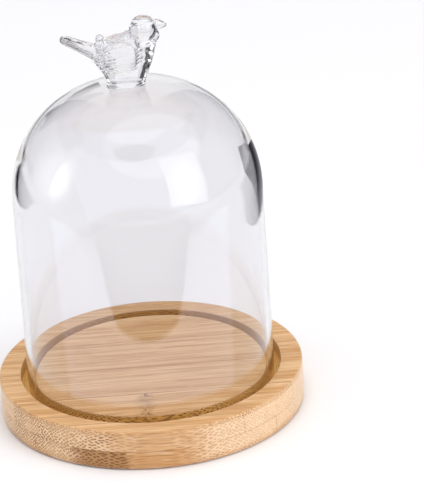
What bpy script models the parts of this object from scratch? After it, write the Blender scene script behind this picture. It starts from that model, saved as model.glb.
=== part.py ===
"""Glass bell jar dome with a bird finial, on a round base of laminated bamboo.

The base is a two-ply board: six strips on top and five below, edge-glued, with their grain along X.
The top ply carries an annular groove, and the glass dome stands in it.
All sizes are in metres, +Z is up, and the origin is the centre of the base's underside.
"""

import math

import bmesh
import bpy
from mathutils import Matrix, Vector

COLLECTION = "bell_jar_dome"

# Base
BASE_RADIUS = 0.0550
BASE_THICKNESS = 0.0148
PLY_JOINT_HEIGHT = 0.0070
TOP_EDGE_ROUND = 0.0007
UNDER_EDGE_ROUND = 0.0013
GLUE_LINE = 0.0001

# Annular groove in the top ply
GROOVE_INNER_RADIUS = 0.0418
GROOVE_OUTER_RADIUS = 0.0472
GROOVE_DEPTH = 0.0045
GROOVE_EDGE_ROUND = 0.0004

# Strips, from front (-Y) to back
STRIP_WIDTH = 0.0218
TOP_FIRST_SEAM = -0.0452
TOP_SEAMS = 5
UNDER_FIRST_SEAM = -0.0343
UNDER_SEAMS = 4

# Glass dome
DOME_FOOT_RADIUS = 0.0448
DOME_SHOULDER_RADIUS = 0.0446
DOME_SHOULDER_HEIGHT = 0.0820
DOME_APEX_HEIGHT = 0.1240
CROWN_FULLNESS = 2.15
GLASS_THICKNESS = 0.0020
SEAT_GAP = 0.0002

# Bird finial, fused to the crown
BIRD_FOOT_X = -0.0013
BIRD_FOOT_RADIUS = 0.0065
BIRD_CHEST_RADIUS = 0.0108
BIRD_FOOT_HEIGHT = 0.0120
BIRD_CHEST_HEIGHT = 0.1355
BIRD_SLIMNESS = 0.54
FUSED_JOINT_GAP = 0.0003

# Mesh resolution
BASE_STEPS = 96
DOME_STEPS = 72
CROWN_STEPS = 14
ROUND_STEPS = 3
MERGE = 0.00001

OVERSIZE = 1.2


def clear_scene():
    for item in list(bpy.data.objects):
        bpy.data.objects.remove(item, do_unlink=True)


def new_collection(name):
    collection = bpy.data.collections.new(name)
    bpy.context.scene.collection.children.link(collection)
    return collection


def material(name, colour, roughness, transmission=0.0):
    made = bpy.data.materials.new(name)
    made.use_nodes = True
    shader = made.node_tree.nodes["Principled BSDF"]
    shader.inputs["Base Color"].default_value = (*colour, 1.0)
    shader.inputs["Roughness"].default_value = roughness
    shader.inputs["Metallic"].default_value = 0.0
    shader.inputs["Transmission Weight"].default_value = transmission
    return made


def add_object(name, mesh, collection, finish=None):
    made = bpy.data.objects.new(name, mesh)
    collection.objects.link(made)
    if finish:
        mesh.materials.append(finish)
    return made


def smooth(mesh):
    mesh.shade_smooth()
    mesh.set_sharp_from_angle(angle=math.radians(30))


def arc(centre_x, centre_z, radius, start, end, steps=ROUND_STEPS):
    """Points on a circle in the XZ plane; angles are in degrees, from +X towards +Z."""
    points = []
    for i in range(steps + 1):
        angle = math.radians(start + (end - start) * i / steps)
        points.append((centre_x + radius * math.cos(angle), centre_z + radius * math.sin(angle)))
    return points


def profile_mesh(name, points):
    mesh = bpy.data.meshes.new(name)
    edges = [(i, i + 1) for i in range(len(points) - 1)]
    mesh.from_pydata([(x, 0.0, z) for x, z in points], edges, [])
    return mesh


def turn(item, steps):
    """Turns the object's profile about the Z axis."""
    screw = item.modifiers.new("turn", "SCREW")
    screw.axis = "Z"
    screw.steps = steps
    screw.render_steps = steps
    screw.use_merge_vertices = True
    screw.merge_threshold = MERGE
    screw.use_smooth_shade = True


def hide_cutter(cutter):
    cutter.hide_render = True
    cutter.display_type = "WIRE"


def boolean(item, cutter, operation):
    cut = item.modifiers.new(operation.lower(), "BOOLEAN")
    cut.operation = operation
    cut.solver = "EXACT"
    cut.object = cutter


def baked_mesh(item):
    """The object's evaluated mesh, smoothed, as a mesh of its own."""
    graph = bpy.context.evaluated_depsgraph_get()
    mesh = bpy.data.meshes.new_from_object(item.evaluated_get(graph))
    smooth(mesh)
    return mesh


# ---------------------------------------------------------------- bamboo base


def top_ply_profile():
    top = BASE_THICKNESS
    floor = BASE_THICKNESS - GROOVE_DEPTH
    edge = GROOVE_EDGE_ROUND
    rim = TOP_EDGE_ROUND
    under = PLY_JOINT_HEIGHT + GLUE_LINE
    return [
        (0.0, top),
        *arc(GROOVE_INNER_RADIUS - edge, top - edge, edge, 90, 0),
        (GROOVE_INNER_RADIUS, floor),
        (GROOVE_OUTER_RADIUS, floor),
        *arc(GROOVE_OUTER_RADIUS + edge, top - edge, edge, 180, 90),
        *arc(BASE_RADIUS - rim, top - rim, rim, 90, 0),
        (BASE_RADIUS, under),
        (0.0, under),
    ]


def under_ply_profile():
    rim = UNDER_EDGE_ROUND
    return [
        (0.0, PLY_JOINT_HEIGHT),
        (BASE_RADIUS, PLY_JOINT_HEIGHT),
        *arc(BASE_RADIUS - rim, rim, rim, 0, -90),
        (0.0, 0.0),
    ]


def slab(name, front, back, cutters):
    """A cutter that keeps one strip of a ply, between two glue lines."""
    grid = bmesh.new()
    bmesh.ops.create_cube(grid, size=1.0)
    size = Vector((2 * OVERSIZE * BASE_RADIUS, back - front, 2 * OVERSIZE * BASE_THICKNESS))
    bmesh.ops.scale(grid, vec=size, verts=grid.verts)
    bmesh.ops.translate(grid, vec=(0.0, (front + back) / 2, BASE_THICKNESS / 2), verts=grid.verts)
    mesh = bpy.data.meshes.new(name)
    grid.to_mesh(mesh)
    grid.free()
    cutter = add_object(name, mesh, cutters)
    hide_cutter(cutter)
    return cutter


def ply(name, profile, first_seam, seams, finish, parts, cutters):
    """One ply of the board: the turned blank is cut into strips that meet at glue lines."""
    limit = OVERSIZE * BASE_RADIUS
    edges = [-limit] + [first_seam + i * STRIP_WIDTH for i in range(seams)] + [limit]
    for i in range(seams + 1):
        front = edges[i] + GLUE_LINE / 2
        back = edges[i + 1] - GLUE_LINE / 2
        blank = add_object(f"{name}_{i + 1}", profile_mesh(f"{name}_{i + 1}", profile), parts, finish)
        turn(blank, BASE_STEPS)
        boolean(blank, slab(f"keep_{name}_{i + 1}", front, back, cutters), "INTERSECT")
        blank.data = baked_mesh(blank)
        blank.modifiers.clear()


# ---------------------------------------------------------------- glass dome


def crown(radius, rise, steps):
    """Quarter of a superellipse, from the apex out to the shoulder, above the shoulder's height."""
    points = []
    for i in range(steps + 1):
        angle = math.radians(90 - 90 * i / steps)
        x = radius * max(math.cos(angle), 0.0) ** (2 / CROWN_FULLNESS)
        z = rise * max(math.sin(angle), 0.0) ** (2 / CROWN_FULLNESS)
        points.append((x if i else 0.0, DOME_SHOULDER_HEIGHT + z))
    return points


def dome_profile():
    rise = DOME_APEX_HEIGHT - DOME_SHOULDER_HEIGHT
    foot = BASE_THICKNESS - GROOVE_DEPTH + SEAT_GAP
    lip = GLASS_THICKNESS / 2
    outer = crown(DOME_SHOULDER_RADIUS, rise, CROWN_STEPS)
    inner = crown(DOME_SHOULDER_RADIUS - GLASS_THICKNESS, rise - GLASS_THICKNESS, CROWN_STEPS)
    rounded_lip = arc(DOME_FOOT_RADIUS - lip, foot + lip, lip, 0, -180, 2 * ROUND_STEPS)
    return outer + rounded_lip + inner[::-1]


def glass_dome(parts):
    finish = material("dome_glass", (0.93, 0.95, 0.96), 0.02, transmission=1.0)
    dome = add_object("glass_dome", profile_mesh("glass_dome", dome_profile()), parts, finish)
    turn(dome, DOME_STEPS)
    return dome


# ---------------------------------------------------------------- bird finial


def ellipsoid(name, centre, semi_axes, tilt, segments, rings, stretch=0.0):
    """A ball scaled to its half sizes and tilted nose up; stretch draws it out along X between two half balls."""
    grid = bmesh.new()
    turned = Matrix.Rotation(math.radians(90), 4, "Y")
    bmesh.ops.create_uvsphere(grid, u_segments=segments, v_segments=rings, radius=1.0, matrix=turned)
    bmesh.ops.scale(grid, vec=Vector(semi_axes), verts=grid.verts)
    for corner in grid.verts:
        corner.co.x += math.copysign(stretch, corner.co.x)
    place = Matrix.Translation(centre) @ Matrix.Rotation(math.radians(-tilt), 4, "Y")
    bmesh.ops.transform(grid, matrix=place, verts=grid.verts)
    mesh = bpy.data.meshes.new(name)
    grid.to_mesh(mesh)
    grid.free()
    return mesh


def tapered_body(name):
    """The lower body: an oval cone that narrows from the chest to the foot."""
    grid = bmesh.new()
    bmesh.ops.create_cone(
        grid,
        cap_ends=True,
        segments=28,
        radius1=BIRD_FOOT_RADIUS,
        radius2=BIRD_CHEST_RADIUS,
        depth=BIRD_FOOT_HEIGHT,
    )
    bmesh.ops.scale(grid, vec=(1.0, BIRD_SLIMNESS, 1.0), verts=grid.verts)
    middle = BIRD_CHEST_HEIGHT - BIRD_FOOT_HEIGHT / 2
    bmesh.ops.translate(grid, vec=(BIRD_FOOT_X, 0.0, middle), verts=grid.verts)
    mesh = bpy.data.meshes.new(name)
    grid.to_mesh(mesh)
    grid.free()
    return mesh


def beak(name):
    grid = bmesh.new()
    lying = Matrix.Translation((0.0117, 0.0, 0.1451)) @ Matrix.Rotation(math.radians(100), 4, "Y")
    bmesh.ops.create_cone(
        grid, cap_ends=True, segments=14, radius1=0.0026, radius2=0.0003, depth=0.0050, matrix=lying
    )
    mesh = bpy.data.meshes.new(name)
    grid.to_mesh(mesh)
    grid.free()
    return mesh


def crown_cutter(cutters):
    """The space of the crown and a thin gap above it, which shapes the underside of the bird's foot."""
    rise = DOME_APEX_HEIGHT - DOME_SHOULDER_HEIGHT + FUSED_JOINT_GAP
    outline = crown(DOME_SHOULDER_RADIUS + FUSED_JOINT_GAP, rise, CROWN_STEPS)
    outline.append((0.0, DOME_SHOULDER_HEIGHT))
    cutter = add_object("crown_space", profile_mesh("crown_space", outline), cutters)
    turn(cutter, DOME_STEPS)
    hide_cutter(cutter)
    return cutter


def bird_finial(parts, cutters):
    finish = material("bird_glass", (0.95, 0.96, 0.97), 0.03, transmission=1.0)
    bird = add_object("bird_finial", tapered_body("bird_finial"), parts, finish)
    wing = (0.0072, 0.0016, 0.0044)
    forms = {
        "back": ellipsoid("back", (-0.0012, 0.0, 0.1366), (0.0110, 0.0058, 0.0060), 8, 28, 13),
        "chest": ellipsoid("chest", (0.0045, 0.0, 0.1392), (0.0063, 0.0049, 0.0066), 0, 24, 11),
        "head": ellipsoid("head", (0.0066, 0.0, 0.1446), (0.0045, 0.0043, 0.0045), 0, 22, 11),
        "beak": beak("beak"),
        "tail": ellipsoid("tail", (-0.0150, 0.0, 0.1386), (0.0024, 0.0028, 0.0023), -23, 16, 9, 0.0058),
        "left_wing": ellipsoid("left_wing", (-0.0035, 0.0050, 0.1372), wing, -12, 20, 9),
        "right_wing": ellipsoid("right_wing", (-0.0035, -0.0050, 0.1372), wing, -12, 20, 9),
    }
    for name, mesh in forms.items():
        form = add_object(name, mesh, cutters)
        hide_cutter(form)
        boolean(bird, form, "UNION")
    boolean(bird, crown_cutter(cutters), "DIFFERENCE")
    bird.data = baked_mesh(bird)
    bird.modifiers.clear()
    return bird


def build():
    clear_scene()
    parts = new_collection(COLLECTION)
    cutters = new_collection("cutters")
    top_finish = material("bamboo_top", (0.66, 0.42, 0.22), 0.45)
    under_finish = material("bamboo_under", (0.60, 0.37, 0.18), 0.50)
    ply("top_strip", top_ply_profile(), TOP_FIRST_SEAM, TOP_SEAMS, top_finish, parts, cutters)
    ply("under_strip", under_ply_profile(), UNDER_FIRST_SEAM, UNDER_SEAMS, under_finish, parts, cutters)
    glass_dome(parts)
    bird_finial(parts, cutters)


build()
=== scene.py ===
"""Looks for the glass bell jar dome: blown glass with a bird on its crown, on a laminated bamboo base.

Metres throughout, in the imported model's frame: +Z up, the base's underside at zero, the front towards -Y.
"""

import math
from typing import NamedTuple

import bmesh
import bpy
import numpy as np
from mathutils import Matrix, Vector, noise


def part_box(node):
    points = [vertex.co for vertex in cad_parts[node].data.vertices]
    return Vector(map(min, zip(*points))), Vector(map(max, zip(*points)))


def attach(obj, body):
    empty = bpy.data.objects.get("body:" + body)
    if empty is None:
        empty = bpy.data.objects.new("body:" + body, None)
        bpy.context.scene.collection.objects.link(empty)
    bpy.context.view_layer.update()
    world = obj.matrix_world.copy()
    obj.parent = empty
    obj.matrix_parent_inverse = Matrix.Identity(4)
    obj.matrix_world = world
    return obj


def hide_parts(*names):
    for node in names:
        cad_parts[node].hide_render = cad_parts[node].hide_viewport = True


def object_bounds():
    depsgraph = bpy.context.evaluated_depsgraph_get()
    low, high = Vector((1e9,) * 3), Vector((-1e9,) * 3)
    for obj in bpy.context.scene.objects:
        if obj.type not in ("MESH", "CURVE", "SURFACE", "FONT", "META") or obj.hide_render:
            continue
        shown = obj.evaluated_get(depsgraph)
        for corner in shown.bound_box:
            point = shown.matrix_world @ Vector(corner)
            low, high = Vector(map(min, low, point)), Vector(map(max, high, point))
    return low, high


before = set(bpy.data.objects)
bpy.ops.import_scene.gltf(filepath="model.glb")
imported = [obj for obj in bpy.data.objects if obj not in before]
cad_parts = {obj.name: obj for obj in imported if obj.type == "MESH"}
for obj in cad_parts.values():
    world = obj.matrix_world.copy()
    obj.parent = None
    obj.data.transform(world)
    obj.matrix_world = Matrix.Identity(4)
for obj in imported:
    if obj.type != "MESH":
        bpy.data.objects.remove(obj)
CAD_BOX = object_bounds()

MM = 0.001
BASE_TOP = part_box("top_strip_1")[1].z
PLY_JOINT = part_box("under_strip_1")[1].z
BASE_RADIUS = CAD_BOX[1].x
DOME_LOW, DOME_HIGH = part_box("glass_dome")
TOP_STRIPS = sorted(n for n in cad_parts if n.startswith("top_strip"))
UNDER_STRIPS = sorted(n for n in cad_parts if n.startswith("under_strip"))

# Groove and edges of the board, as in the CAD
GROOVE_INNER_RADIUS = 41.8 * MM
GROOVE_OUTER_RADIUS = 47.2 * MM
GROOVE_DEPTH = 4.5 * MM
GROOVE_EDGE_ROUND = 0.4 * MM
TOP_EDGE_ROUND = 0.7 * MM
UNDER_EDGE_ROUND = 1.3 * MM

# Dome, as in the CAD
SHOULDER_RADIUS = 44.6 * MM
SHOULDER_HEIGHT = 82.0 * MM
CROWN_FULLNESS = 2.15
GLASS_THICKNESS = 2.0 * MM
DOME_MIDDLE = Vector((0.0, 0.0, 95.0 * MM))

# Bird: the gap keeps it just off the crown; its head's middle and its feather lines are in mm
SEAT_GAP = 0.04 * MM
BIRD_MIDDLE = Vector((0.0, 0.0, 137.0 * MM))
BIRD_DETAIL = 0.22 * MM
HEAD_X = 6.1
HEAD_Z = 144.2
FEATHER_PITCH = 1.25

# Fineness of the turned shapes, and the angle above which an edge stays sharp
GLASS_TURN_STEPS = 160
BOARD_TURN_STEPS = 256
CROWN_STEPS = 48
WALL_STEPS = 24
GLASS_EDGE_ANGLE = 60
WOOD_EDGE_ANGLE = 40


# ---------------------------------------------------------------- mesh helpers


def new_object(name, data):
    made = bpy.data.objects.new(name, data)
    bpy.context.scene.collection.objects.link(made)
    return made


def mesh_from(name, grid):
    mesh = bpy.data.meshes.new(name)
    grid.to_mesh(mesh)
    grid.free()
    return mesh


def smooth(mesh, angle):
    """Smooth shading, but for edges sharper than the angle in degrees."""
    mesh.shade_smooth()
    mesh.set_sharp_from_angle(angle=math.radians(angle))


def apply_modifiers(item):
    """Replaces the object's mesh by its evaluated one."""
    graph = bpy.context.evaluated_depsgraph_get()
    mesh = bpy.data.meshes.new_from_object(item.evaluated_get(graph))
    item.modifiers.clear()
    item.data = mesh


def remove(item):
    bpy.data.objects.remove(item, do_unlink=True)


def arc(centre_x, centre_z, radius, start, end, steps=6):
    """Points on a circle in the XZ plane; angles are in degrees, from +X towards +Z."""
    points = []
    for i in range(steps + 1):
        angle = math.radians(start + (end - start) * i / steps)
        points.append((centre_x + radius * math.cos(angle), centre_z + radius * math.sin(angle)))
    return points


def lathe(name, profile, steps):
    """A closed body turned about Z from a profile that runs from axis to axis, down its outer side."""
    grid = bmesh.new()
    corners = [grid.verts.new((x, 0.0, z)) for x, z in profile]
    edges = [grid.edges.new((corners[i], corners[i + 1])) for i in range(len(corners) - 1)]
    bmesh.ops.spin(
        grid, geom=corners + edges, cent=(0, 0, 0), axis=(0, 0, 1), angle=math.tau, steps=steps
    )
    bmesh.ops.remove_doubles(grid, verts=grid.verts, dist=1e-6)
    bmesh.ops.recalc_face_normals(grid, faces=grid.faces)
    return new_object(name, mesh_from(name, grid))


# ---------------------------------------------------------------- camera

CAMERA_DISTANCE = 1.35
CAMERA_ELEVATION = 25.87
CAMERA_ROLL = 3.85
AIM_RIGHT = 0.0253
AIM_UP = 0.0393
FOCAL_LENGTH = 267.9


def camera_axes():
    """Unit vectors towards the camera and up across its view, before it is rolled."""
    elevation = math.radians(CAMERA_ELEVATION)
    back = Vector((0.0, -math.cos(elevation), math.sin(elevation)))
    up = Vector((0.0, math.sin(elevation), math.cos(elevation)))
    return back, up


def add_camera():
    """From the front and above, through a long lens, rolled so that the dome leans left in the frame."""
    back, up = camera_axes()
    target = Vector((0.0, 0.0, BASE_TOP))
    place = target + back * CAMERA_DISTANCE
    aim = target + Vector((1, 0, 0)) * AIM_RIGHT + up * AIM_UP
    data = bpy.data.cameras.new("camera")
    data.lens = FOCAL_LENGTH
    data.sensor_width = 36.0
    data.clip_end = 50.0
    camera = new_object("camera", data)
    look = (aim - place).to_track_quat("-Z", "Y").to_matrix().to_4x4()
    roll = Matrix.Rotation(math.radians(-CAMERA_ROLL), 4, "Z")
    camera.matrix_world = Matrix.Translation(place) @ look @ roll
    bpy.context.scene.camera = camera


# ---------------------------------------------------------------- material nodes


class Graph:
    """A node tree, with short calls for the nodes used here."""

    def __init__(self, tree):
        self.nodes = tree.nodes
        self.links = tree.links

    def put(self, socket, value):
        if isinstance(value, bpy.types.NodeSocket):
            self.links.new(value, socket)
        else:
            socket.default_value = value

    def add(self, kind, inputs=None, **settings):
        node = self.nodes.new(kind)
        for key, value in settings.items():
            setattr(node, key, value)
        for key, value in (inputs or {}).items():
            self.put(node.inputs[key], value)
        return node

    def math(self, operation, a, b=0.0):
        return self.add("ShaderNodeMath", {0: a, 1: b}, operation=operation).outputs[0]

    def times(self, first, *others):
        for other in others:
            first = self.math("MULTIPLY", first, other)
        return first

    def plus(self, first, *others):
        for other in others:
            first = self.math("ADD", first, other)
        return first

    def vector(self, operation, a, b):
        return self.add("ShaderNodeVectorMath", {0: a, 1: b}, operation=operation).outputs[0]

    def split(self, vector):
        return self.add("ShaderNodeSeparateXYZ", {0: vector}).outputs

    def join(self, x, y, z):
        return self.add("ShaderNodeCombineXYZ", {0: x, 1: y, 2: z}).outputs[0]

    def ramp(self, value, low, high, to_low=0.0, to_high=1.0):
        """Smooth step from low to high."""
        inputs = {0: value, 1: low, 2: high, 3: to_low, 4: to_high}
        return self.add("ShaderNodeMapRange", inputs, interpolation_type="SMOOTHSTEP").outputs[0]

    def noise(self, vector, scale, detail):
        inputs = {"Vector": vector, "Scale": scale, "Detail": detail}
        return self.add("ShaderNodeTexNoise", inputs).outputs[0]

    def wander(self, vector, scale, detail):
        """Noise about zero, from -0.5 to 0.5."""
        return self.math("SUBTRACT", self.noise(vector, scale, detail), 0.5)

    def mix(self, factor, a, b):
        node = self.add("ShaderNodeMix", data_type="RGBA")
        self.put(node.inputs[0], factor)
        self.put(node.inputs[6], a)
        self.put(node.inputs[7], b)
        return node.outputs[2]


class Finish(Graph):
    """A material's node tree."""

    def __init__(self, name):
        self.material = bpy.data.materials.new(name)
        self.material.use_nodes = True
        super().__init__(self.material.node_tree)
        self.shader = self.nodes["Principled BSDF"]
        self.output = self.nodes["Material Output"]

    def set_shader(self, values):
        for name, value in values.items():
            self.put(self.shader.inputs[name], value)


# ---------------------------------------------------------------- glass


GLASS_TINT = (0.905, 0.905, 0.918, 1.0)
LAMPLIGHT_TINT = (0.93, 0.93, 0.935, 1.0)


def glass_material(name):
    """Clear soda glass. Lamps shine through it, so that the wood under the dome is lit."""
    g = Finish(name)
    g.set_shader({"Base Color": GLASS_TINT, "Roughness": 0.0, "IOR": 1.5, "Transmission Weight": 1.0})
    rays = g.add("ShaderNodeLightPath").outputs
    clear = g.add("ShaderNodeBsdfTransparent", {"Color": LAMPLIGHT_TINT})
    lamp_ray = g.math("MAXIMUM", rays["Is Shadow Ray"], rays["Is Diffuse Ray"])
    mixed = g.add("ShaderNodeMixShader", {0: lamp_ray, 1: g.shader.outputs[0], 2: clear.outputs[0]})
    g.links.new(mixed.outputs[0], g.output.inputs["Surface"])
    return g.material


def crown(radius, rise):
    """Quarter of a superellipse, from the apex out to the shoulder."""
    points = []
    for i in range(CROWN_STEPS + 1):
        angle = math.radians(90 - 90 * i / CROWN_STEPS)
        x = radius * max(math.cos(angle), 0.0) ** (2 / CROWN_FULLNESS)
        z = rise * max(math.sin(angle), 0.0) ** (2 / CROWN_FULLNESS)
        points.append((x if i else 0.0, SHOULDER_HEIGHT + z))
    return points


def dome_profile():
    """From the apex down the outside, round the lip, and up the inside."""
    rise = DOME_HIGH.z - SHOULDER_HEIGHT
    foot_radius = DOME_HIGH.x
    lip = GLASS_THICKNESS / 2
    lip_height = DOME_LOW.z + lip
    drop = SHOULDER_HEIGHT - lip_height
    taper = (foot_radius - SHOULDER_RADIUS) / drop
    depths = [drop * i / WALL_STEPS for i in range(1, WALL_STEPS)]
    wall = [(SHOULDER_RADIUS + taper * depth, SHOULDER_HEIGHT - depth) for depth in depths]
    outer = crown(SHOULDER_RADIUS, rise) + wall
    inner = crown(SHOULDER_RADIUS - GLASS_THICKNESS, rise - GLASS_THICKNESS)
    inner += [(x - GLASS_THICKNESS, z) for x, z in wall]
    return outer + arc(foot_radius - lip, lip_height, lip, 0, -180, 10) + inner[::-1]


def loft(name, sections, count):
    """A closed body through oval sections in mm: (centre x, centre z, half length, half width, lean).

    An upright section is square to X; lean turns it towards lying flat, in degrees. Count: its corners.
    """
    grid = bmesh.new()
    rings = []
    for x, z, half_length, half_width, lean in sections:
        ring = []
        for i in range(count):
            turn = math.tau * i / count
            up = half_length * math.cos(turn)
            corner = Vector((x - up * math.sin(math.radians(lean)), half_width * math.sin(turn), z))
            corner.z += up * math.cos(math.radians(lean))
            ring.append(grid.verts.new(corner * MM))
        rings.append(ring)
    for a, b in zip(rings, rings[1:]):
        for i in range(count):
            j = (i + 1) % count
            grid.faces.new((a[i], a[j], b[j], b[i]))
    grid.faces.new(rings[0][::-1])
    grid.faces.new(rings[-1])
    bmesh.ops.recalc_face_normals(grid, faces=grid.faces)
    made = new_object(name, mesh_from(name, grid))
    made.modifiers.new("rounded", "SUBSURF").levels = 2
    apply_modifiers(made)
    mesh = made.data
    remove(made)
    return mesh


def ellipsoid(name, centre, semi_axes, tilt=0.0):
    """A ball, in mm, scaled to its half sizes and tilted nose up."""
    grid = bmesh.new()
    turned = Matrix.Rotation(math.radians(90), 4, "Y")
    bmesh.ops.create_uvsphere(grid, u_segments=48, v_segments=32, radius=1.0, matrix=turned)
    bmesh.ops.scale(grid, vec=Vector(semi_axes) * MM, verts=grid.verts)
    place = Matrix.Translation(Vector(centre) * MM) @ Matrix.Rotation(math.radians(-tilt), 4, "Y")
    bmesh.ops.transform(grid, matrix=place, verts=grid.verts)
    return mesh_from(name, grid)


def body_sections():
    """Level sections of the body from the foot up: height, rear end, front end and half width, in mm."""
    levels = (
        (122.3, -8.6, 6.0, 4.9),
        (123.2, -8.2, 5.8, 4.5),
        (124.6, -7.8, 5.6, 4.1),
        (126.6, -7.9, 6.3, 4.2),
        (129.2, -9.3, 7.4, 4.9),
        (132.0, -11.3, 8.6, 5.7),
        (135.0, -13.0, 9.5, 6.2),
        (137.6, -13.2, 10.2, 6.0),
        (139.6, -12.0, 10.7, 5.2),
        (141.2, -9.0, 10.8, 4.1),
        (142.3, -5.0, 10.6, 2.6),
    )
    return [((front + rear) / 2, z, (front - rear) / 2, half, -90.0) for z, rear, front, half in levels]


def tail_sections():
    """Sections across the tail from the body out to its rounded tip."""
    return [
        (-8.5, 135.6, 3.2, 4.2, -28.0),
        (-11.5, 137.0, 2.7, 3.9, -28.0),
        (-14.5, 138.5, 2.2, 3.6, -28.0),
        (-17.5, 140.1, 1.9, 3.4, -27.0),
        (-20.3, 141.5, 1.7, 3.2, -25.0),
        (-22.2, 142.3, 1.4, 2.6, -24.0),
        (-23.1, 142.7, 0.8, 1.5, -24.0),
    ]


def beak_sections():
    """Sections from inside the head to the beak's point."""
    return [
        (9.6, 145.7, 2.3, 2.0, -4.0),
        (11.4, 145.5, 1.9, 1.6, -4.0),
        (12.9, 145.2, 1.35, 1.1, -4.0),
        (14.0, 145.0, 0.85, 0.7, -4.0),
        (14.5, 144.9, 0.4, 0.35, -4.0),
    ]


def bird_forms():
    """The bird's rough shape as overlapping solids; it faces +X and cocks its tail."""
    meshes = [
        loft("body", body_sections(), 32),
        loft("tail", tail_sections(), 24),
        loft("beak", beak_sections(), 24),
        ellipsoid("head", (HEAD_X, 0, HEAD_Z), (5.0, 4.7, 4.9)),
        ellipsoid("throat", (9.2, 0, 141.6), (2.5, 2.4, 2.8)),
        ellipsoid("nape", (1.5, 0, 141.4), (6.2, 3.6, 2.6), 18),
    ]
    for side in (-1, 1):
        meshes.append(ellipsoid("wing", (-2.6, 4.4 * side, 135.6), (7.0, 2.6, 5.8), 6))
        meshes.append(ellipsoid("wing_tip", (-9.3, 2.6 * side, 140.6), (1.5, 1.1, 1.7), -10))
    grid = bmesh.new()
    for mesh in meshes:
        grid.from_mesh(mesh)
        bpy.data.meshes.remove(mesh)
    return new_object("bird", mesh_from("bird", grid))


class BirdSurface:
    """The bird's surface points, with x, y and z in mm, and how far each is pushed out, also in mm."""

    def __init__(self, mesh):
        count = len(mesh.vertices)
        self.place = np.zeros(count * 3)
        self.facing = np.zeros(count * 3)
        mesh.vertices.foreach_get("co", self.place)
        mesh.vertices.foreach_get("normal", self.facing)
        self.place = self.place.reshape(-1, 3)
        self.facing = self.facing.reshape(-1, 3)
        self.x, self.y, self.z = (self.place / MM).T
        self.sideways = np.abs(self.facing[:, 1])
        self.push = np.zeros(count)

    def stroke(self, start, end, width):
        """1 along a line from start to end in the side view (x, z), falling off over its width."""
        dx, dz = end[0] - start[0], end[1] - start[1]
        from_x, from_z = self.x - start[0], self.z - start[1]
        share = np.clip((from_x * dx + from_z * dz) / (dx * dx + dz * dz), 0, 1)
        return crease(np.hypot(from_x - share * dx, from_z - share * dz), width)

    def move(self, mesh):
        place = self.place + self.facing * (self.push * MM)[:, None]
        mesh.vertices.foreach_set("co", place.ravel())
        mesh.update()


def band(value, low, high, soft):
    """1 between low and high, with soft sides."""
    rise = np.clip((value - low) / soft + 0.5, 0, 1)
    fall = np.clip((high - value) / soft + 0.5, 0, 1)
    return (rise * rise * (3 - 2 * rise)) * (fall * fall * (3 - 2 * fall))


def crease(away, width):
    """1 where away is zero, falling off over the width on both sides."""
    return np.exp(-((away / width) ** 2))


def press_wing(bird):
    """A raised oval with feather lines that rise a little towards the breast."""
    x, z = bird.x, bird.z
    reach = np.hypot((x + 3.2) / 7.4, (z - 135.6) / 6.4)
    wing = band(-reach, -1.0, 9.0, 0.12) * np.clip(bird.sideways * 3.0 - 0.9, 0, 1)
    ruffle = z - 135.6 - 0.09 * (x + 2.4) + 0.008 * (x - 1.0) ** 2
    bird.push += 0.15 * wing
    bird.push -= 0.21 * wing * (0.5 + 0.5 * np.cos(2 * np.pi * ruffle / FEATHER_PITCH))


def press_feather_tips(bird):
    """Deep notches along the wing's lower rear edge, small ones along its front, two plumes above it."""
    flank = np.clip(bird.sideways * 3.0 - 0.6, 0, 1)
    for i in range(4):
        x, z = -9.8 + 1.3 * i, 134.2 - 1.2 * i
        bird.push -= 1.0 * flank * bird.stroke((x, z), (x + 1.7, z + 0.4), 0.38)
    for i in range(6):
        x, z = 4.1 - 0.05 * (i - 2) ** 2, 138.6 - 1.35 * i
        bird.push -= 0.55 * flank * bird.stroke((x, z), (x - 0.9, z - 0.5), 0.28)
    for end in ((-10.2, 139.4), (-8.8, 138.2)):
        bird.push -= 0.5 * flank * bird.stroke(end, (-5.4, 140.2), 0.28)


def press_tail(bird):
    """Long grooves on the tail's upper face and along its sides."""
    outside = np.abs(bird.y)
    grooves = crease(outside - 1.5, 0.42) + 0.5 * crease(outside, 0.3)
    bird.push -= 0.75 * grooves * band(bird.x, -21.3, -12.5, 1.2) * np.clip(bird.facing[:, 2], 0, 1)
    rim = bird.z - (138.3 - 0.55 * (bird.x + 14.0))
    bird.push -= 1.0 * crease(rim, 0.42) * band(bird.x, -21.6, -12.0, 1.2) * bird.sideways


def press_head(bird):
    """The cap's edge, the eyes, the step from chin to breast and the line behind the head."""
    x, z = bird.x, bird.z
    head = band(x, 1.0, 11.2, 0.8) * band(z, 140.0, 150.5, 0.5)
    bird.push -= 0.28 * head * crease(z - 147.9 + 0.06 * (x - 7.0) ** 2, 0.26)
    eye = np.hypot(x - 5.6, z - 146.6)
    bird.push += head * bird.sideways * (0.14 * crease(eye, 0.45) - 0.40 * crease(eye - 0.75, 0.22))
    cheek = np.hypot(x - HEAD_X, z - HEAD_Z) - 4.75
    below = band(np.degrees(np.arctan2(z - HEAD_Z, x - HEAD_X)), -80.0, 25.0, 15.0)
    bird.push -= 0.55 * below * bird.sideways * crease(cheek, 0.25)
    bird.push -= 0.30 * bird.stroke((2.2, 147.6), (0.8, 142.2), 0.35)


def press_stipple(bird):
    """Small uneven dimples on the breast and the nape."""
    breast = band(bird.x, 4.8, 12.0, 1.2) * band(bird.z, 128.5, 140.5, 2.0)
    nape = band(bird.x, -8.0, 3.0, 1.5) * band(bird.z, 141.0, 145.0, 1.0)
    stippled = breast + nape
    for i in np.nonzero(stippled > 0.01)[0]:
        cell = noise.noise(Vector((bird.x[i], bird.y[i], bird.z[i])) * 0.7)
        bird.push[i] += 0.13 * stippled[i] * cell


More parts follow.
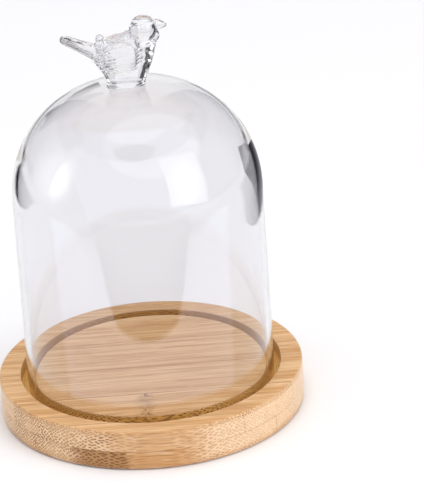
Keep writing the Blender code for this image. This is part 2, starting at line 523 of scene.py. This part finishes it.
def sculpt_bird(mesh):
    """Presses the feathers, grooves, eyes and dimples into the bird's surface."""
    bird = BirdSurface(mesh)
    for press in (press_wing, press_feather_tips, press_tail, press_head, press_stipple):
        press(bird)
    bird.move(mesh)


def soften(item, rounds):
    """Evens out the surface, after any modifiers that still wait."""
    relax = item.modifiers.new("soften", "SMOOTH")
    relax.factor = 0.5
    relax.iterations = rounds
    apply_modifiers(item)


def bird_shape():
    """The forms melted into one surface, sculpted and polished."""
    bird = bird_forms()
    remesh = bird.modifiers.new("blend", "REMESH")
    remesh.mode = "VOXEL"
    remesh.voxel_size = BIRD_DETAIL
    remesh.use_smooth_shade = True
    soften(bird, 8)
    sculpt_bird(bird.data)
    soften(bird, 1)
    return bird


def bell_glass():
    dome = lathe("bell_glass", dome_profile(), GLASS_TURN_STEPS)
    smooth(dome.data, GLASS_EDGE_ANGLE)
    dome.data.materials.append(glass_material("bell_glass"))
    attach(dome, "dome")
    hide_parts("glass_dome")


def glass_bird():
    """The bird, its foot hollowed so that it sits on the dome's crown."""
    bird = bird_shape()
    rise = DOME_HIGH.z - SHOULDER_HEIGHT
    outside = [(x, z + SEAT_GAP) for x, z in crown(SHOULDER_RADIUS, rise)]
    seat = lathe("seat", [*outside, (0.0, SHOULDER_HEIGHT + SEAT_GAP)], GLASS_TURN_STEPS)
    fit = bird.modifiers.new("fit", "BOOLEAN")
    fit.operation = "DIFFERENCE"
    fit.solver = "EXACT"
    fit.object = seat
    apply_modifiers(bird)
    remove(seat)
    smooth(bird.data, GLASS_EDGE_ANGLE)
    bird.data.materials.clear()
    bird.data.materials.append(glass_material("bird_glass"))
    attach(bird, "dome")
    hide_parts("bird_finial")


# ---------------------------------------------------------------- bamboo


PALE_BAMBOO = (0.80, 0.59, 0.39, 1.0)
# Orange of the wall's skin bands; in the lower band it is painted shade as well
ORANGE_SKIN_AND_SHADE = (0.58, 0.28, 0.085, 1.0)
# Darker colour of the long sides: partly their own colour, partly painted shade
DUSKY_GRAIN_AND_SHADE = (0.54, 0.28, 0.105, 1.0)
TAWNY_BAMBOO = (0.38, 0.18, 0.055, 1.0)
REDDISH_BAMBOO = (0.46, 0.205, 0.065, 1.0)
BROWN_BUNDLE = (0.17, 0.066, 0.012, 1.0)
LIGHT_GOLD = (0.82, 0.46, 0.110, 1.0)
DEEP_GOLD = (0.62, 0.31, 0.050, 1.0)

# From one culm's pattern to the next, and the heights between which skin fades, in mm; the lower band also
# carries painted shade under the rounded lower edge
CULM_STEP = (137.0, 19.1, 7.2)
LOWER_SKIN_AND_SHADE = (1.0, 3.0)
UPPER_SKIN = (12.6, 14.0)

# Radians of the router marks' wave per mm
ROUTER_MARK_RATE = 7.5


class Look(NamedTuple):
    """One strip's wood: culm, tone, how much its cut ends show as dots, and marks along X in mm."""

    culm: int
    tone: float
    dotted: float
    node_x: float = None
    brown_patch: tuple = None


class Bamboo:
    """Varnished bamboo with its fibres along X; places and sizes are in millimetres."""

    def __init__(self, name, look):
        g = self.g = Finish(name)
        coordinates = g.add("ShaderNodeTexCoord").outputs
        self.place = g.vector("MULTIPLY", coordinates["Object"], (1 / MM, 1 / MM, 1 / MM))
        self.own_x, self.own_y, self.own_z = g.split(self.place)
        in_culm = [step * look.culm for step in CULM_STEP]
        self.x, y, z = g.split(g.vector("ADD", self.place, in_culm))
        self.follow_fibres(y, z)
        if look.node_x is not None:
            self.add_growth_node(look.node_x)
        self.find_surfaces(g.split(coordinates["Normal"]))
        self.hairs = self.streaks(along=0.035, across=1.25)
        coarse = self.bundles(pitch=1.05, row_pitch=0.65)
        fine = self.bundles(pitch=0.80, row_pitch=0.50)
        self.dots = g.add("ShaderNodeMix", {0: self.skin_and_shade, 2: coarse, 3: fine}).outputs[0]

    def follow_fibres(self, y, z):
        """The fibres keep along X but wander, so that lines on the surface start and end."""
        g = self.g
        sway_y = g.noise(g.join(g.times(self.x, 0.022), g.times(y, 0.05), 3.0), 1.0, 1.0)
        sway_z = g.noise(g.join(g.times(self.x, 0.05), g.times(y, 0.25), g.times(z, 0.12)), 1.0, 1.0)
        self.fibre_y = g.plus(y, g.times(sway_y, 1.4))
        self.fibre_z = g.plus(z, g.times(sway_z, 3.0))

    def add_growth_node(self, node_x):
        """The scar across a growth node, and the curl that it gives the fibres."""
        g = self.g
        wavy = g.times(g.wander(self.place, 0.16, 1.0), 6.0)
        off = g.math("ABSOLUTE", g.plus(g.math("SUBTRACT", self.own_x, node_x), wavy))
        self.scar = g.ramp(off, 0.8, 4.2, 1.0, 0.0)
        curl = g.times(g.wander(self.place, 0.42, 2.0), self.scar, 4.0)
        self.fibre_y = g.plus(self.fibre_y, curl)
        self.fibre_z = g.plus(self.fibre_z, curl)

    def find_surfaces(self, normal):
        """Masks: flat top, wall, the wall's cut ends and long sides, its skin with painted shade in the
        lower band, and painted sheen on its right.
        """
        g = self.g
        self.flat_top = g.ramp(normal[2], 0.90, 0.985)
        self.wall = g.math("SUBTRACT", 1.0, self.flat_top)
        self.end_grain = g.ramp(g.math("ABSOLUTE", normal[0]), 0.08, 0.40)
        self.long_side = g.times(g.math("SUBTRACT", 1.0, self.end_grain), self.wall)
        # Skin bands low and high on the wall; the low one is also painted shade under the rounded lower
        # edge.
        height = g.plus(self.own_z, g.times(g.wander(self.place, 0.09, 2.0), 2.5))
        skin_and_shade = g.math("MAXIMUM", g.ramp(height, *LOWER_SKIN_AND_SHADE, 1.0, 0.0), g.ramp(height, *UPPER_SKIN))
        self.skin_and_shade = g.times(skin_and_shade, self.wall)
        # Painted sheen: the wall turns paler towards the right.
        self.pale = g.times(g.ramp(self.own_x, 4.0, 30.0), self.wall)

    def streaks(self, along, across):
        """Noise drawn out along the fibres; along and across are its scales."""
        g = self.g
        at = g.join(g.times(self.x, along), g.times(self.fibre_y, across), g.times(self.fibre_z, across))
        return g.noise(at, 1.0, 2.0)

    def bundles(self, pitch, row_pitch):
        """Vascular bundles in staggered rows: dots across the grain, long lines along it."""
        g = self.g
        across = g.math("DIVIDE", self.fibre_y, pitch)
        up = g.math("DIVIDE", self.fibre_z, 2 * row_pitch)
        at = g.join(g.plus(across, up), g.math("SUBTRACT", across, up), 0.0)
        inputs = {"Vector": at, "Scale": 1.0, "Randomness": 0.42}
        cells = g.add("ShaderNodeTexVoronoi", inputs, voronoi_dimensions="2D").outputs[0]
        return g.ramp(cells, 0.20, 0.46, 1.0, 0.0)

    def ground(self, tone):
        """Honey with soft bands and fine fibres; pale walls with orange skin, the lower band also painted
        shade; painted sheen on the right; long sides darker, partly their own colour and partly painted
        shade.
        """
        g = self.g
        light = (0.82 * tone, 0.530 * tone, 0.275 * tone, 1.0)
        deep = (0.64 * tone, 0.340 * tone, 0.128 * tone, 1.0)
        bands = self.streaks(along=0.010, across=0.40)
        colour = g.mix(g.ramp(bands, 0.32, 0.72), light, deep)
        colour = g.mix(g.times(self.wall, 0.50), colour, PALE_BAMBOO)
        # Painted sheen on the right of the wall.
        colour = g.mix(g.times(self.pale, 0.45), colour, PALE_BAMBOO)
        # Orange skin bands; the lower one is partly painted shade.
        colour = g.mix(g.times(self.skin_and_shade, 0.35), colour, ORANGE_SKIN_AND_SHADE)
        # Long sides darker, most on the lower ply: partly the long grain's own colour, partly painted shade
        # on the front wall.
        joint = PLY_JOINT / MM
        dusk = g.ramp(self.own_z, joint - 0.1, joint + 0.1, 0.92, 0.62)
        colour = g.mix(g.times(self.long_side, dusk), colour, DUSKY_GRAIN_AND_SHADE)
        grain = g.plus(g.times(self.long_side, 0.50), g.times(self.flat_top, 0.26), 0.12)
        colour = g.mix(g.times(g.ramp(self.hairs, 0.46, 0.66), grain), colour, REDDISH_BAMBOO)
        gaps = g.times(g.ramp(self.hairs, 0.26, 0.44, 1.0, 0.0), self.long_side, 0.50)
        return g.mix(gaps, colour, PALE_BAMBOO)

    def patch(self, start, end):
        """Where a patch between two places along X shows; its ends are ragged."""
        g = self.g
        at = g.plus(self.own_x, g.times(g.wander(self.place, 0.35, 2.0), 7.0))
        return g.times(g.ramp(at, start - 3.5, start + 3.5), g.ramp(at, end - 3.0, end + 2.5, 1.0, 0.0))

    def with_bundles(self, colour, look):
        """Strong dots on cut ends, fewer under the painted sheen on the right, thin streaks elsewhere."""
        g = self.g
        ends = g.times(g.ramp(self.end_grain, 0.0, 1.0, 0.0, 0.92 * look.dotted), self.wall)
        # Fewer dots under the painted sheen on the right.
        painted_sheen_share = g.math("SUBTRACT", self.pale, g.times(self.skin_and_shade, 0.6))
        ends = g.times(ends, g.ramp(painted_sheen_share, 0.0, 1.0, 1.0, 0.34))
        stretched = g.vector("MULTIPLY", self.place, (0.05, 0.12, 0.16))
        uneven = g.ramp(g.noise(stretched, 1.0, 1.0), 0.35, 0.65, 0.6, 1.0)
        share = g.times(g.math("MAXIMUM", ends, 0.30), uneven)
        if look.brown_patch:
            patch = self.patch(*look.brown_patch)
            colour = g.mix(g.times(patch, 0.90), colour, TAWNY_BAMBOO)
            share = g.math("MAXIMUM", share, g.times(patch, 0.95))
        return g.mix(g.times(self.dots, share), colour, BROWN_BUNDLE)

    def with_scar(self, colour):
        """Specks and a faint stain across a growth node."""
        g = self.g
        specks = g.ramp(g.noise(self.place, 0.9, 2.0), 0.54, 0.66)
        stain = g.times(self.scar, g.plus(g.times(specks, 0.75), 0.20))
        return g.mix(stain, colour, BROWN_BUNDLE)

    def with_glue_lines(self, colour, y_edges):
        """Thin dark lines along the strip's long edges, clearest on the flat top."""
        g = self.g
        low, high = (edge / MM for edge in y_edges)
        from_low = g.math("SUBTRACT", self.own_y, low)
        from_high = g.math("SUBTRACT", high, self.own_y)
        line = g.ramp(g.math("MINIMUM", from_low, from_high), 0.05, 0.22, 1.0, 0.0)
        strength = g.plus(g.times(self.flat_top, 0.30), 0.10)
        return g.mix(g.times(line, strength), colour, BROWN_BUNDLE)

    def with_groove(self, colour):
        """Golden wood in the groove: router marks round its floor, bundles on its walls."""
        g = self.g
        inner, outer, top = (size / MM for size in (GROOVE_INNER_RADIUS, GROOVE_OUTER_RADIUS, BASE_TOP))
        floor = top - GROOVE_DEPTH / MM
        reach = g.math("SQRT", g.plus(g.times(self.own_x, self.own_x), g.times(self.own_y, self.own_y)))
        across = g.times(g.ramp(reach, inner - 0.3, inner), g.ramp(reach, outer, outer + 0.3, 1.0, 0.0))
        below_top = g.ramp(self.own_z, top - 0.5, top - 0.2, 1.0, 0.0)
        above_joint = g.ramp(self.own_z, PLY_JOINT / MM, floor - 1.0)
        marks = g.ramp(g.math("SINE", g.times(reach, ROUTER_MARK_RATE)), -1.0, 1.0)
        gold = g.mix(marks, LIGHT_GOLD, DEEP_GOLD)
        on_walls = g.ramp(self.own_z, floor + 0.1, floor + 0.5, 0.1, 0.90)
        gold = g.mix(g.times(self.dots, on_walls), gold, BROWN_BUNDLE)
        return g.mix(g.times(across, below_top, above_joint, 0.85), colour, gold)

    def varnished(self, colour):
        """Colour, gloss and relief. The walls carry more varnish than the top, and most at the back."""
        g = self.g
        coat = g.times(self.wall, g.ramp(self.own_y, -36.0, 10.0, 0.20, 0.85))
        relief = g.math("SUBTRACT", g.times(self.hairs, 0.5), g.times(self.dots, 0.6))
        bump = g.add("ShaderNodeBump", {"Strength": 0.30, "Distance": 0.06 * MM, "Height": relief})
        g.set_shader({
            "Base Color": colour,
            "Roughness": g.ramp(g.plus(self.hairs, self.dots), 0.3, 1.4, 0.42, 0.62),
            "Specular IOR Level": 0.15,
            "Coat Weight": g.plus(coat, 0.10),
            "Coat Roughness": 0.28,
            "Normal": bump.outputs[0],
        })
        return g.material


def bamboo_material(name, look, y_edges):
    """Colour from the ground up: bundles, a growth node's scar, glue lines, the groove; then varnish."""
    wood = Bamboo(name, look)
    colour = wood.ground(look.tone)
    colour = wood.with_bundles(colour, look)
    if look.node_x is not None:
        colour = wood.with_scar(colour)
    colour = wood.with_glue_lines(colour, y_edges)
    colour = wood.with_groove(colour)
    return wood.varnished(colour)


def top_profile():
    """The upper ply from the middle of the plateau out through the groove, and down the rim."""
    top = BASE_TOP
    floor = top - GROOVE_DEPTH
    edge = GROOVE_EDGE_ROUND
    rim = TOP_EDGE_ROUND
    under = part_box(TOP_STRIPS[0])[0].z
    return [
        (0.0, top),
        *arc(GROOVE_INNER_RADIUS - edge, top - edge, edge, 90, 0),
        (GROOVE_INNER_RADIUS, floor),
        (GROOVE_OUTER_RADIUS, floor),
        *arc(GROOVE_OUTER_RADIUS + edge, top - edge, edge, 180, 90),
        *arc(BASE_RADIUS - rim, top - rim, rim, 90, 0),
        (BASE_RADIUS, under),
        (0.0, under),
    ]


def under_profile():
    """The lower ply from its joint out to the rounded lower edge."""
    rim = UNDER_EDGE_ROUND
    return [
        (0.0, PLY_JOINT),
        (BASE_RADIUS, PLY_JOINT),
        *arc(BASE_RADIUS - rim, rim, rim, 0, -90),
        (0.0, 0.0),
    ]


def slab(front, back):
    """A block that takes in the board between two places along Y."""
    grid = bmesh.new()
    bmesh.ops.create_cube(grid, size=1.0)
    bmesh.ops.scale(grid, vec=(3 * BASE_RADIUS, back - front, 3 * BASE_TOP), verts=grid.verts)
    bmesh.ops.translate(grid, vec=(0, (front + back) / 2, BASE_TOP / 2), verts=grid.verts)
    return new_object("slab", mesh_from("slab", grid))


def cut_strip(name, profile, front, back):
    """The turned ply's part between two places along Y."""
    strip = lathe(name, profile, BOARD_TURN_STEPS)
    cutter = slab(front, back)
    cut = strip.modifiers.new("cut", "BOOLEAN")
    cut.operation = "INTERSECT"
    cut.solver = "EXACT"
    cut.object = cutter
    apply_modifiers(strip)
    remove(cutter)
    smooth(strip.data, WOOD_EDGE_ANGLE)
    strip.data.materials.clear()
    return strip


def strips(nodes, profile, looks):
    """One ply, cut into the CAD's strips from front to back; the outermost cuts pass the rim by 1 mm."""
    for i, (node, look) in enumerate(zip(nodes, looks)):
        low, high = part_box(node)
        front = low.y if i else low.y - MM
        back = high.y if i < len(nodes) - 1 else high.y + MM
        strip = cut_strip(f"bamboo_{node}", profile, front, back)
        strip.data.materials.append(bamboo_material(f"bamboo_{node}", look, (front, back)))
        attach(strip, "base")
        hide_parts(node)


def bamboo_base():
    """The two plies, front strips first; neighbours from one culm run on into each other."""
    top_looks = (
        Look(1, 0.97, 1.0),
        Look(1, 0.98, 1.0, node_x=-3.0),
        Look(2, 0.93, 0.15),
        Look(3, 0.92, 0.35),
        Look(4, 0.96, 0.60),
        Look(5, 0.94, 0.70),
    )
    under_looks = (
        Look(6, 0.95, 1.0, brown_patch=(-29.0, -10.0)),
        Look(6, 0.95, 1.0),
        Look(7, 0.95, 0.20),
        Look(8, 1.00, 0.50, node_x=26.0),
        Look(9, 0.94, 0.70),
    )
    strips(TOP_STRIPS, top_profile(), top_looks)
    strips(UNDER_STRIPS, under_profile(), under_looks)


# ---------------------------------------------------------------- studio


FLOOR_RADIUS = 12.0
FLOOR_GAP = 0.2 * MM
CRESCENT_DISTANCE = 0.09
SIDES = ((1, "right"), (-1, "left"))
TENT = (0.80, 0.79, 0.82)
FAR_CORNER = (0.26, 0.25, 0.26)
WHITE = (1.0, 1.0, 1.0)
BLACK = (0.02, 0.02, 0.02)

# How finely cards are cut up
FLAT_CARD_CUTS = 15
CARD_STEPS = 8


def floor_material():
    g = Finish("pale_floor")
    g.set_shader({"Base Color": (0.86, 0.86, 0.86, 1.0), "Roughness": 0.9, "Specular IOR Level": 0.0})
    return g.material


def add_floor():
    """A pale matt floor, just below the base so that the two do not flicker."""
    grid = bmesh.new()
    bmesh.ops.create_circle(grid, cap_ends=True, segments=96, radius=FLOOR_RADIUS)
    floor = new_object("floor", mesh_from("floor", grid))
    floor.data.materials.append(floor_material())
    floor.location.z = -FLOOR_GAP


def direction(azimuth, elevation):
    """Unit vector from the object; azimuth is from the camera's side (-Y) towards +X."""
    a = math.radians(azimuth)
    e = math.radians(elevation)
    return Vector((math.sin(a) * math.cos(e), -math.cos(a) * math.cos(e), math.sin(e)))


def lamp(name, azimuth, elevation, distance, size, power):
    """A soft lamp. Its own mirror image is left to a card, so that it can fade towards the edges."""
    data = bpy.data.lights.new(name, "AREA")
    data.shape = "ELLIPSE"
    data.size, data.size_y = size
    data.energy = power
    made = new_object(name, data)
    away = direction(azimuth, elevation)
    made.location = DOME_MIDDLE + away * distance
    made.rotation_mode = "QUATERNION"
    made.rotation_quaternion = away.to_track_quat("Z", "Y")
    made.visible_camera = False
    made.visible_glossy = False
    made.visible_transmission = False


def light_only(g, colour, strength, shown=1.0):
    """Turns the material into pure light, see-through where shown is 0."""
    light = g.add("ShaderNodeEmission", {"Color": colour, "Strength": strength})
    clear = g.add("ShaderNodeBsdfTransparent")
    mixed = g.add("ShaderNodeMixShader", {0: shown, 1: clear.outputs[0], 2: light.outputs[0]})
    g.links.new(mixed.outputs[0], g.output.inputs["Surface"])
    return g.material


def from_point(g, x, y):
    """Distance from a point on the card's UV square, which runs from 0 to 1."""
    across = g.vector("SUBTRACT", g.add("ShaderNodeTexCoord").outputs["UV"], (x, y, 0.0))
    return g.add("ShaderNodeVectorMath", {0: across}, operation="LENGTH").outputs["Value"]


def round_glow(name, middle, fade_start):
    """White light that dies away before the card's edge."""
    g = Finish(name)
    shown = g.ramp(from_point(g, 0.5, 0.5), fade_start, 0.5, 1.0, 0.0)
    return light_only(g, (*WHITE, 1.0), middle, shown)


def square_glow(name, middle, edge):
    """White light with a hot middle, dimmer towards the edges, as a square softbox gives."""
    g = Finish(name)
    strength = g.ramp(from_point(g, 0.5, 0.42), 0.05, 0.60, middle, edge)
    return light_only(g, (*WHITE, 1.0), strength)


def once_mirrored(g):
    """1 on paths that have met a mirror, so that nothing shows straight through the glass."""
    return g.math("MINIMUM", g.add("ShaderNodeLightPath").outputs["Glossy Depth"], 1.0)


def even_glow(name, colour, mirrors_only=False, reach=None):
    """Even light. It can be kept to mirrored paths, or to glass that is within a reach of distances."""
    g = Finish(name)
    shown = once_mirrored(g) if mirrors_only else 1.0
    if reach:
        length = g.add("ShaderNodeLightPath").outputs["Ray Length"]
        near = g.ramp(length, reach[0] - MM, reach[0])
        far = g.ramp(length, reach[1], reach[1] + MM, 1.0, 0.0)
        shown = g.math("MULTIPLY", near, far)
    return light_only(g, (*colour, 1.0), 1.0, shown)


def fading(name, axis, start, end, first, last, mirrors_only=False):
    """Light that goes from the first colour to the last, outwards on both sides along an axis."""
    g = Finish(name)
    along = g.split(g.add("ShaderNodeTexCoord").outputs["Object"])[axis]
    share = g.ramp(g.math("ABSOLUTE", along), start, end)
    shown = once_mirrored(g) if mirrors_only else 1.0
    return light_only(g, g.mix(share, (*first, 1.0), (*last, 1.0)), 1.0, shown)


def flat(outline):
    """A flat card; one with four corners gets a UV square from 0 to 1, and is cut up finely."""
    grid = bmesh.new()
    face = grid.faces.new([grid.verts.new(point) for point in outline])
    if len(outline) == 4:
        layer = grid.loops.layers.uv.new("uv")
        for loop, at in zip(face.loops, ((0, 0), (1, 0), (1, 1), (0, 1))):
            loop[layer].uv = at
        bmesh.ops.subdivide_edges(grid, edges=grid.edges, cuts=FLAT_CARD_CUTS, use_grid_fill=True)
    return grid


def around(middle, azimuths, elevations, distance):
    """A card curved about a point that spans these directions."""
    grid = bmesh.new()
    shares = [i / CARD_STEPS for i in range(CARD_STEPS + 1)]
    turns = [azimuths[0] + (azimuths[1] - azimuths[0]) * share for share in shares]
    lifts = [elevations[0] + (elevations[1] - elevations[0]) * share for share in shares]
    rows = []
    for lift in lifts:
        rows.append([grid.verts.new(middle + direction(turn, lift) * distance) for turn in turns])
    for low, high in zip(rows, rows[1:]):
        for i in range(CARD_STEPS):
            grid.faces.new((low[i], low[i + 1], high[i + 1], high[i]))
    return grid


def card(name, grid, material, mirrored=True, bent=True):
    """A card that neither lights nor shades, and only shows where glass mirrors it or bends it."""
    made = new_object(name, mesh_from(name, grid))
    made.data.materials.append(material)
    made.visible_camera = False
    made.visible_diffuse = False
    made.visible_shadow = False
    made.visible_glossy = mirrored
    made.visible_transmission = bent


def on_floor(outline, height=0.5):
    """Corners laid just above the floor, in mm."""
    return [Vector((x * MM, y * MM, height * MM)) for x, y in outline]


def facing(azimuths, elevations, distance):
    """Corners of a card that spans these directions as seen from the middle of the dome."""
    low, high = elevations
    left, right = azimuths
    spans = ((left, low), (right, low), (right, high), (left, high))
    return [DOME_MIDDLE + direction(*at) * distance for at in spans]


def square_to(azimuth, elevation, half_width, half_height):
    """Corners of a flat card one metre away that faces the dome; its half sizes are angles."""
    away = direction(azimuth, elevation)
    turn = away.to_track_quat("Z", "Y")
    x = turn @ Vector((math.tan(math.radians(half_width)), 0, 0))
    y = turn @ Vector((0, math.tan(math.radians(half_height)), 0))
    middle = DOME_MIDDLE + away
    return [middle - x - y, middle + x - y, middle + x + y, middle - x + y]


def bird_head_crescent():
    """Corners of a dark strip that shows bent into a crescent at the right of the bird's head.

    A corner's first angle is away from the line of sight through the head, its second round that line.
    """
    inner = ((40, 20), (38, 0), (38, -20), (40, -42), (42, -62))
    outer = ((46, -62), (54, -42), (58, -20), (54, 0), (44, 20))
    middle = Vector((HEAD_X, 0.0, HEAD_Z)) * MM
    back, up = camera_axes()
    left = Vector((-1.0, 0.0, 0.0))
    corners = []
    for bend, turn in (*inner, *outer):
        across = left * math.cos(math.radians(turn)) - up * math.sin(math.radians(turn))
        bent = across * math.sin(math.radians(bend)) - back * math.cos(math.radians(bend))
        corners.append(middle + bent * CRESCENT_DISTANCE)
    return corners


def add_world():
    """A pale tent of light, dim in the two far corners of the room."""
    world = bpy.data.worlds.new("studio")
    bpy.context.scene.world = world
    world.use_nodes = True
    g = Graph(world.node_tree)
    toward = g.add("ShaderNodeTexCoord").outputs["Generated"]
    corners = []
    for azimuth in (148, -150):
        inputs = {0: toward, 1: direction(azimuth, 4)}
        near = g.add("ShaderNodeVectorMath", inputs, operation="DOT_PRODUCT").outputs["Value"]
        corners.append(g.ramp(near, math.cos(math.radians(45)), math.cos(math.radians(5))))
    colour = g.mix(g.math("MAXIMUM", *corners), (*TENT, 1.0), (*FAR_CORNER, 1.0))
    g.put(g.nodes["Background"].inputs["Color"], colour)


def add_lamps():
    """Three soft lamps, and the cards that show their images in the glass."""
    lamp("lamp_above", azimuth=0, elevation=88, distance=1.3, size=(1.2, 1.2), power=6)
    lamp("lamp_right", azimuth=50, elevation=24, distance=1.6, size=(1.2, 1.4), power=12)
    lamp("lamp_left", azimuth=-88, elevation=20, distance=1.6, size=(0.6, 0.8), power=3)
    above = round_glow("mirrored_lamp_above", middle=1.45, fade_start=0.44)
    overhead = square_to(azimuth=45, elevation=70, half_width=42, half_height=38)
    card("mirrored_lamp_above", flat(overhead), above)
    window = [DOME_MIDDLE + direction(*at) for at in ((29, 4), (64, -2), (77, 42), (32, 53))]
    card("mirrored_lamp_right", flat(window), square_glow("mirrored_lamp_right", middle=3.6, edge=2.3))
    halo = round_glow("halo_left", middle=1.7, fade_start=0.0)
    wide = square_to(azimuth=-92, elevation=18, half_width=34, half_height=36)
    card("halo_left", flat(wide), halo)
    left = round_glow("mirrored_lamp_left", middle=4.6, fade_start=0.03)
    narrow = square_to(azimuth=-86, elevation=18, half_width=21, half_height=23)
    card("mirrored_lamp_left", flat(narrow), left)


def add_surroundings():
    """A white backdrop, dark patches of floor at both sides, and cream bands along their far edges."""
    white = facing(azimuths=(162, 200), elevations=(-6, 64), distance=1.1)
    card("backdrop", flat(white), even_glow("backdrop", WHITE))
    grey = (0.24, 0.23, 0.26)
    charcoal = fading("charcoal", axis=0, start=0.11, end=0.19, first=grey, last=(0.03, 0.03, 0.035))
    right = (
        (200, 50), (145, 120), (100, 165), (68, 208), (74, 262), (145, 335),
        (240, 420), (330, 490), (420, 600), (750, 450), (600, 150),
    )
    card("dark_right", flat(on_floor(right)), charcoal)
    left = (
        (-260, 130), (-195, 170), (-160, 215), (-160, 280), (-215, 360), (-330, 480),
        (-450, 620), (-750, 450), (-550, 150),
    )
    card("dark_left", flat(on_floor(left)), charcoal)
    cream = even_glow("cream", (0.62, 0.55, 0.45))
    far_right = ((60, 262), (145, 333), (330, 490), (300, 530), (120, 375), (58, 300))
    card("cream_right", flat(on_floor(far_right)), cream, bent=False)
    far_left = ((-90, 270), (-180, 352), (-330, 482), (-300, 530), (-150, 390), (-85, 310))
    card("cream_left", flat(on_floor(far_left)), cream, bent=False)


def add_front_reflections():
    """Seen only in mirrors: bright floor in front, darker floor over it, and dusk low at the back."""
    bright = (1.45, 1.50, 1.72)
    pale = (0.80, 0.80, 0.83)
    gleam = fading("gleam", axis=1, start=0.12, end=0.20, first=bright, last=pale, mirrors_only=True)
    bright_floor = ((-420, -40), (-420, -260), (420, -260), (420, -40))
    card("floor_gleam", flat(on_floor(bright_floor, height=0.3)), gleam)
    grey = (0.55, 0.54, 0.60)
    shadow = fading("shadow", axis=1, start=0.14, end=0.22, first=BLACK, last=grey, mirrors_only=True)
    front = ((-520, -600), (560, -600), (195, -200), (62, -138), (-62, -138), (-110, -165), (-250, -240))
    card("dark_front", flat(on_floor(front)), shadow)
    for side, mark in SIDES:
        dusk = even_glow(f"dusk_{mark}", (0.10, 0.075, 0.06), mirrors_only=True)
        horizon = around(DOME_MIDDLE, (136 * side, 170 * side), (-8, -1.5), distance=0.6)
        card(f"dark_horizon_{mark}", horizon, dusk)


def add_bird_surroundings():
    """Veils and black cards that the solid glass of the bird bends into its pale and dark marks."""
    near_black = even_glow("near_black", BLACK, reach=(0.020, 0.046))
    far_black = even_glow("far_black", BLACK, reach=(0.048, 0.085))
    crescent_black = even_glow("crescent_black", BLACK, reach=(0.060, 0.100))
    for side, mark in SIDES:
        veil = even_glow(f"veil_{mark}", TENT, reach=(0.085, 0.125))
        behind = around(BIRD_MIDDLE, (98 * side, 163 * side), (-26, 12), distance=0.115)
        beside = around(BIRD_MIDDLE, (80 * side, 120 * side), (10, 52), distance=0.08)
        card(f"veil_{mark}", behind, veil, mirrored=False)
        card(f"dark_side_{mark}", beside, far_black, mirrored=False)
    below = around(BIRD_MIDDLE, (-160, -118), (-22, -8), distance=0.042)
    ahead = around(BIRD_MIDDLE, (-80, 80), (20, 50), distance=0.07)
    card("dark_low", below, near_black, mirrored=False)
    card("dark_ahead", ahead, far_black, mirrored=False)
    card("crescent", flat(bird_head_crescent()), crescent_black, mirrored=False)


def add_studio():
    """Light, and what the glass mirrors and bends."""
    scene = bpy.context.scene
    scene.view_settings.view_transform = "Standard"
    scene.view_settings.look = "None"
    add_world()
    add_lamps()
    add_surroundings()
    add_front_reflections()
    add_bird_surroundings()


# ---------------------------------------------------------------- build

add_camera()
add_floor()
add_studio()
bell_glass()
glass_bird()
bamboo_base()
